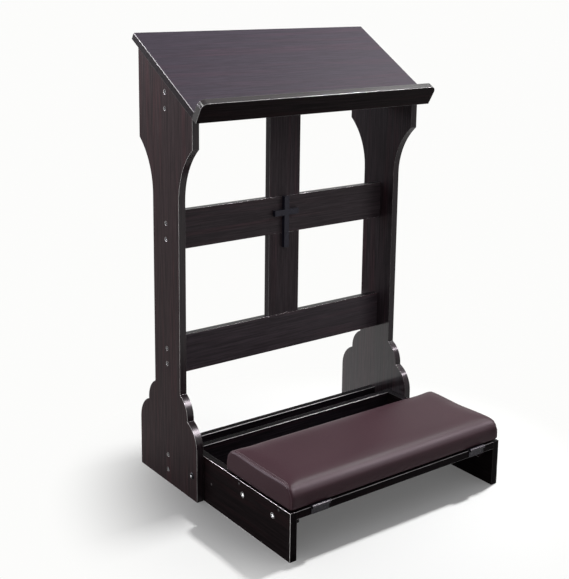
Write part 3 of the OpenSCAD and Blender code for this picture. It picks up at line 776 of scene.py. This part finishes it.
# The pad: its cover is blown up as cloth, then seamed, stitched and hollowed for its board
padSettings = dict(
    side=2.5 * mm, top=4.0 * mm,  # how much smaller the blank starts than the finished pad
    topRound=(21 * mm, 8), bottomRound=(4 * mm, 3), endRound=(10 * mm, 3),  # radius and steps
    voxel=5 * mm, pressure=4.0, frames=20, quality=6, tension=6, bending=3,
    held=6 * mm,  # the cloth stays put up to this height
    cap=5 * mm, calming=14,  # the most that a point moves, and the rounds of smoothing of its moves
    tuck=2.8 * mm, tuckRise=22 * mm,  # how the front and the rear are drawn in under the pad
    seamReach=4.5 * mm, seamDepth=0.9 * mm,
    boardFit=0.4 * mm, boardRound=(12 * mm, 6), boardOpen=2 * mm,  # the hollow for the board is open below
)


def block(low, high, *rounds):  # a box; each round is a test of an edge's ends, a radius and its steps
    mesh = bmesh.new()
    bmesh.ops.create_cube(mesh, size=1)
    for vert in mesh.verts:
        vert.co = Vector(l + (c + 0.5) * (h - l) for c, l, h in zip(vert.co, low, high))
    for test, (radius, steps) in rounds:
        edges = [e for e in mesh.edges if test(e.verts[0].co, e.verts[1].co)]
        roundEdges(mesh, edges, radius, steps)
    bmesh.ops.recalc_face_normals(mesh, faces=mesh.faces)
    return mesh


def swollenPad(s):
    low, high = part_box("pad_cushion")
    inset = Vector((s["side"], s["side"], 0))
    start, stop = low + inset, high - inset - upright * s["top"]
    blank = block(  # one cover panel runs over the front, top and rear; the ends are flat gussets
        start, stop,
        (lambda a, b: min(a.z, b.z) > stop.z - tiny and abs(a.x - b.x) > inset.x, s["topRound"]),
        (lambda a, b: max(a.z, b.z) < start.z + tiny and abs(a.x - b.x) > inset.x, s["bottomRound"]),
        (lambda a, b: abs(a.x - b.x) < tiny and abs(abs(a.x) - stop.x) < tiny, s["endRound"]))
    thing = objectOf("pad_blank", blank)
    withModifier(thing, "REMESH", mode="VOXEL", voxel_size=s["voxel"])
    data = plainMesh("pad_blank", thing)
    thing = newThing("pad_cloth", data)
    rest = [v.co.copy() for v in data.vertices]
    group = thing.vertex_groups.new(name="held")
    group.add([v.index for v in data.vertices if v.co.z < low.z + s["held"]], 1, "REPLACE")
    cloth = withModifier(thing, "CLOTH")
    setAll(
        cloth.settings, quality=s["quality"], tension_stiffness=s["tension"],
        compression_stiffness=s["tension"], shear_stiffness=s["tension"] / 2,
        bending_stiffness=s["bending"], vertex_group_mass="held", use_pressure=True,
        uniform_pressure_force=s["pressure"])
    cloth.settings.effector_weights.gravity = 0
    cloth.collision_settings.use_collision = False
    setAll(cloth.point_cache, frame_start=1, frame_end=s["frames"])
    for number in range(1, s["frames"] + 1):
        scene.frame_set(number)
    data = plainMesh("pad_cover", thing)
    moves = [vert.co - start for vert, start in zip(data.vertices, rest)]
    moves = [m.normalized() * s["cap"] * math.tanh(m.length / s["cap"]) if m.length else m for m in moves]
    near = [[] for _ in moves]
    for a, b in (edge.vertices for edge in data.edges):
        near[a].append(b)
        near[b].append(a)
    for _ in range(s["calming"]):
        moves = [
            (m + sum((moves[k] for k in ring), Vector())) / (len(ring) + 1) for m, ring in zip(moves, near)]
    for vert, start, move in zip(data.vertices, rest, moves):
        vert.co = start + move
    corners = [(min(c), max(c)) for c in zip(*[v.co for v in data.vertices])]
    for vert in data.vertices:  # the swollen pad just fills its solid's space
        vert.co = [l + (v - a) * (h - l) / (b - a) for v, (a, b), l, h in zip(vert.co, corners, low, high)]
        share = max(0, 1 - (vert.co.z - low.z) / s["tuckRise"])
        vert.co.y -= math.copysign(s["tuck"] * share ** 2, vert.co.y - (low.y + high.y) / 2)
    return data


leatherSettings = dict(
    cloud=(9, 3, 0.5), cloudStops=((0.3, 0), (0.7, 1)), fine=(1500, 2, 0.6), fineHeight=0.4,
    creaseStops=((0, 0), (0.16, 1)), creaseShift=(0.2, 0.5, 0.1), creaseCover=0.35, creaseShade=0.6,
    creaseHeight=0.6, addedRough=0.05, creaseRough=0.06, cloudRough=0.03, bumpDepth=0.00018,
)


def leatherFinish(name, dark, light, rough, grain=620, bump=0.22, gloss=0.22):
    s = leatherSettings
    hide = Finish(name)
    at = hide.place()
    cloud = hide.ramp(hide.noise(at, *s["cloud"]), *s["cloudStops"])
    cells = hide.node("ShaderNodeTexVoronoi", {"feature": "DISTANCE_TO_EDGE"}, {
        "Vector": hide.place(shift=s["creaseShift"]), "Scale": grain}, "Distance")
    creases = hide.ramp(cells, *s["creaseStops"])
    fine = hide.noise(at, *s["fine"])
    color = hide.mix(cloud, dark, light)
    color = hide.mix((1 - creases) * s["creaseCover"], color, tuple(s["creaseShade"] * c for c in dark))
    height = creases * s["creaseHeight"] + fine * s["fineHeight"]
    dull = rough + s["addedRough"] - creases * s["creaseRough"] + cloud * s["cloudRough"]
    return hide.principled(
        Base_Color=color, Roughness=dull, Specular_IOR_Level=gloss,
        Normal=hide.bump(height, bump, s["bumpDepth"]))


finishes.update(
    padLeather=leatherFinish(
        "pad_leather", (0.041, 0.0168, 0.0230), (0.047, 0.0200, 0.0268), 0.42, gloss=0.11),
    seamLeather=leatherFinish("seam_leather", (0.090, 0.052, 0.062), (0.110, 0.066, 0.078), 0.5),
    thread=leatherFinish("seam_thread", (0.26, 0.20, 0.215), (0.34, 0.27, 0.285), 0.5, 2400, 0.3),
)

seamSettings = dict(
    reach=22 * mm, inboard=0.76,  # how deep the rays to the seam start, and how they lean over the end
    foot=4 * mm, rises=12, bends=6, spacing=2.5 * mm, easing=8,  # easing: rounds of smoothing
    rowApart=2.3 * mm, rowRise=0.15 * mm, steep=0.5,  # steeper parts of the seam carry no stitches
    pitch=4.2 * mm, stitch=3.1 * mm, thread=0.36 * mm, tilt=0.12, weltRadius=0.55 * mm, weltRise=0.25 * mm,
)


def seamPath(tree, corner, low, high, s):  # up the front corner, along the end and down the rear corner
    side = 1 if corner > 0 else -1
    inner, inboard = s["reach"], s["inboard"]
    x = corner - side * inner
    front, rear, top, foot = low.y + inner, high.y - inner, high.z - inner, low.z + s["foot"]
    rises, bends, count = s["rises"], s["bends"], int((rear - front) / s["spacing"])

    def half(y, way):  # up a corner of the pad and over its bend
        rays = [
            (Vector((x, y, foot + (top - foot) * k / rises)), Vector((side, way, 0))) for k in range(rises)]
        for lean in (k / bends for k in range(bends + 1)):
            aim = Vector((side * (1 - lean + lean * inboard), way * (1 - lean), lean))
            rays.append((Vector((x, y, top)), aim))
        return rays

    steps = [front + (rear - front) * k / count for k in range(1, count)]
    rays = half(front, -1) + [(Vector((x, y, top)), Vector((side * inboard, 0, 1))) for y in steps]
    rays += reversed(half(rear, 1))
    found = [tree.ray_cast(start, way.normalized()) for start, way in rays]
    points = [hit[0] for hit in found if hit[0] is not None]
    for _ in range(s["easing"]):  # the seam turns its corners in a curve
        eased = [(a + b + c) / 3 for a, b, c in zip(points, points[1:], points[2:])]
        points = [points[0]] + [tree.find_nearest(p)[0] for p in eased] + [points[-1]]
    return [tuple(Vector(v) for v in tree.find_nearest(p)[:2]) for p in points]


def beside(tree, path, apart, s):  # a line on the cover at one side of the seam
    line = []
    for k, (point, normal) in enumerate(path):
        way = (path[min(k + 1, len(path) - 1)][0] - path[max(k - 1, 0)][0]).normalized()
        if abs(way.z) > s["steep"]:
            continue
        near = tree.find_nearest(point + way.cross(normal).normalized() * apart)
        line.append(near[0] + near[1] * s["rowRise"])
    return line


def makeStitchTree(s):
    maker = Maker("stitches", **{
        "Pitch": s["pitch"], "Stitch Length": s["stitch"], "Thread Radius": s["thread"], "Lean": s["tilt"]})
    given = maker.given
    spots = maker.node("GeometryNodeCurveToPoints", {"mode": "LENGTH"}, {
        "Curve": maker.curve(), "Length": given("Pitch")})
    turn = Wire(maker, spots.socket.node.outputs["Rotation"])
    lean = maker.node("FunctionNodeEulerToRotation", None, {0: maker.vector(y=given("Lean"))})
    bead = maker.node("GeometryNodeMeshUVSphere", None, {"Segments": 6, "Rings": 5})
    bead = maker.moved(bead, Scale=maker.vector(
        given("Thread Radius"), given("Thread Radius"), given("Stitch Length") * 0.5))
    turn = maker.node("FunctionNodeRotateRotation", {"rotation_space": "LOCAL"}, {0: turn, 1: lean})
    maker.endOn(spots, bead, turn)
    return maker


def makeWeltTree(s):
    maker = Maker("seam_welt", **{"Welt Radius": s["weltRadius"], "Facets": 8})
    given = maker.given
    ring = maker.node("GeometryNodeCurvePrimitiveCircle", None, {
        "Resolution": given("Facets"), "Radius": given("Welt Radius")})
    maker.end(maker.node("GeometryNodeCurveToMesh", None, {
        "Curve": maker.curve(), "Profile Curve": ring, "Fill Caps": True}))
    return maker


def linesThing(name, lines):
    points, edges = [], []
    for line in lines:
        edges += [(len(points) + k, len(points) + k + 1) for k in range(len(line) - 1)]
        points += line
    return pointsThing(name, points, None, edges)


def sewnPad(data, s, sew):
    low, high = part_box("pad_cushion")
    thing = newThing("pad_fine", data)
    withModifier(thing, "SUBSURF", levels=1, render_levels=1)
    data = plainMesh("pad_fine", thing)
    cover = BVHTree.FromPolygons([v.co for v in data.vertices], [p.vertices for p in data.polygons])
    paths = [seamPath(cover, x, low, high, sew) for x in (low.x, high.x)]
    seam = BVHTree.FromPolygons(  # thin slivers along the seams, to measure how far a point lies from them
        [p for path in paths for p, n in path for _ in (0, 1)],
        [(2 * k, 2 * k + 1, 2 * k + 2) for path, start in zip(paths, (0, len(paths[0])))
         for k in range(start, start + len(path) - 1)])
    normals = [v.normal.copy() for v in data.vertices]
    for vert, normal in zip(data.vertices, normals):
        near = seam.find_nearest(vert.co, s["seamReach"])
        if near[0] is not None:
            share = 1 - near[3] / s["seamReach"]
            vert.co -= normal * s["seamDepth"] * share * share
    boardLow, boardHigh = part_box("pad_board")
    fit = Vector((s["boardFit"], s["boardFit"], 0))
    cutter = block(
        boardLow - fit - upright * s["boardOpen"], boardHigh + fit + upright * s["boardFit"],
        (lambda a, b: abs(a.z - b.z) > tiny, s["boardRound"]))
    cutter = objectOf("board_space", cutter)
    thing = newThing("pad_hollow", data)
    withModifier(thing, "BOOLEAN", operation="DIFFERENCE", solver="EXACT", object=cutter)
    data = plainMesh("pad_cover", thing)
    bpy.data.objects.remove(cutter)
    for polygon in data.polygons:
        polygon.use_smooth = True
    return data, cover, paths


padMesh, padSkin, padSeams = sewnPad(swollenPad(padSettings), padSettings, seamSettings)
pad = putPiece("pad_cover", padMesh, "pad_cushion", finishes["padLeather"], ["pad_cushion"])
print("pad cover: sewn,", len(padMesh.polygons), "faces")
sew = seamSettings
rows = [beside(padSkin, path, way * sew["rowApart"], sew) for path in padSeams for way in (-1, 1)]
stitches = makeStitchTree(sew).run("pad_stitches", linesThing("rows", rows), finishes["thread"])
putPiece("pad_stitches", stitches, "pad_cushion")
weltLines = [[p - n * (padSettings["seamDepth"] - sew["weltRise"]) for p, n in path] for path in padSeams]
welts = makeWeltTree(sew).run("pad_seam_welts", linesThing("welts", weltLines), finishes["seamLeather"])
putPiece("pad_seam_welts", welts, "pad_cushion")
print("seams and stitches: made")


# Under the pad the cover is turned in over its board, notched round the hinges and stapled
hemSettings = dict(
    reach=3.5 * mm, width=20 * mm,  # how far it lies past the board's edge and in under the board
    thick=0.7 * mm, sunk=0.05 * mm, outerRound=15 * mm, innerRound=5 * mm, cornerSteps=6, spacing=6 * mm,
    wave=0.9 * mm, waveScale=40, notch=1.2 * mm,
    staplePitch=26 * mm, stapleSpan=10 * mm, stapleWire=0.9 * mm, stapleInset=9 * mm,
    stapleTilt=0.16, stapleSwing=2.4, stapleClear=0.6,  # clear: of a notch, as a share of its span
)


def hemPath(low, high, inset, radius, s):  # a rounded rectangle, always with the same count of points
    middle = (low + high) / 2
    arcs = []
    for turn, (x, y) in enumerate(((high.x, high.y), (low.x, high.y), (low.x, low.y), (high.x, low.y))):
        x -= math.copysign(inset + radius, x - middle.x)
        y -= math.copysign(inset + radius, y - middle.y)
        angles = [math.radians(90 * (turn + k / s["cornerSteps"])) for k in range(s["cornerSteps"] + 1)]
        arcs.append([Vector((x + radius * math.cos(a), y + radius * math.sin(a), 0)) for a in angles])
    points = []
    for turn, arc in enumerate(arcs):
        after = arcs[(turn + 1) % 4][0]
        count = int((high - low)[turn % 2] / s["spacing"])
        points += arc + [arc[-1].lerp(after, k / count) for k in range(1, count)]
    return points


def padHem(s, notches):
    low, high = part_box("pad_board")
    outside = hemPath(low, high, -s["reach"], s["outerRound"], s)
    inside = hemPath(low, high, s["width"], s["innerRound"], s)
    middle = (low + high) / 2
    for point in inside:  # the cut edge is never quite straight
        away = Vector((point.x - middle.x, point.y - middle.y, 0)).normalized()
        point += away * s["wave"] * noise.noise(point * s["waveScale"])
    mesh = bmesh.new()
    under, over = low.z - s["thick"], low.z + s["sunk"]
    rings = [[mesh.verts.new((p.x, p.y, z)) for p in path]
             for path, z in ((outside, under), (outside, over), (inside, over), (inside, under))]
    for first, second in zip(rings, rings[1:] + rings[:1]):
        for k in range(len(first)):
            after = (k + 1) % len(first)
            mesh.faces.new((first[k], first[after], second[after], second[k]))
    bmesh.ops.recalc_face_normals(mesh, faces=mesh.faces)
    thing = objectOf("pad_hem_whole", mesh)
    cutters = []
    for start, stop in notches:
        cutters.append(objectOf("hem_notch", block(start - upright * mm, stop + upright * mm)))
        withModifier(thing, "BOOLEAN", operation="DIFFERENCE", solver="EXACT", object=cutters[-1])
    data = plainMesh("pad_hem", thing)
    for cutter in cutters:
        bpy.data.objects.remove(cutter)
    return data


def makeStapleTree(s):
    maker = Maker("staples", **{"Span": s["stapleSpan"], "Wire": s["stapleWire"], "Facets": 8})
    given = maker.given
    wire = maker.node("GeometryNodeMeshCylinder", None, {
        "Vertices": given("Facets"), "Radius": given("Wire") * 0.5, "Depth": given("Span")})
    maker.endOn(given("Geometry"), maker.moved(wire, Rotation=(0, math.pi / 2, 0)), maker.pointTurn())
    return maker


def stapleSpots(s, notches):
    low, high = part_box("pad_board")
    line = hemPath(low, high, s["stapleInset"], s["innerRound"], s)
    spots, turns, gone = [], [], s["staplePitch"] / 2
    for start, stop in zip(line, line[1:] + line[:1]):
        gone += (stop - start).length
        if gone < s["staplePitch"]:
            continue
        gone = 0
        clear = s["stapleSpan"] * s["stapleClear"]
        if any(a.x - clear < stop.x < b.x + clear and a.y - clear < stop.y < b.y + clear for a, b in notches):
            continue
        way = stop - start
        spots.append(Vector((stop.x, stop.y, low.z - s["thick"])))
        tilt = s["stapleTilt"] * math.sin(s["stapleSwing"] * len(spots))
        turns.append((0, 0, math.atan2(way.y, way.x) + tilt))
    return spots, turns


hem = hemSettings
margin = Vector((hem["notch"], hem["notch"], 0))
hemNotches = [(a - margin, b + margin) for a, b in looseBoxes("hinge_moving_leaves")]
putPiece("pad_hem", padHem(hem, hemNotches), "pad_cushion", finishes["padLeather"])
spots = pointsThing("staple_points", *stapleSpots(hem, hemNotches))
staples = makeStapleTree(hem).run("pad_staples", spots, finishes["bracketSteel"])
putPiece("pad_staples", staples, "hinge_moving_screws")
print("hem: stapled")
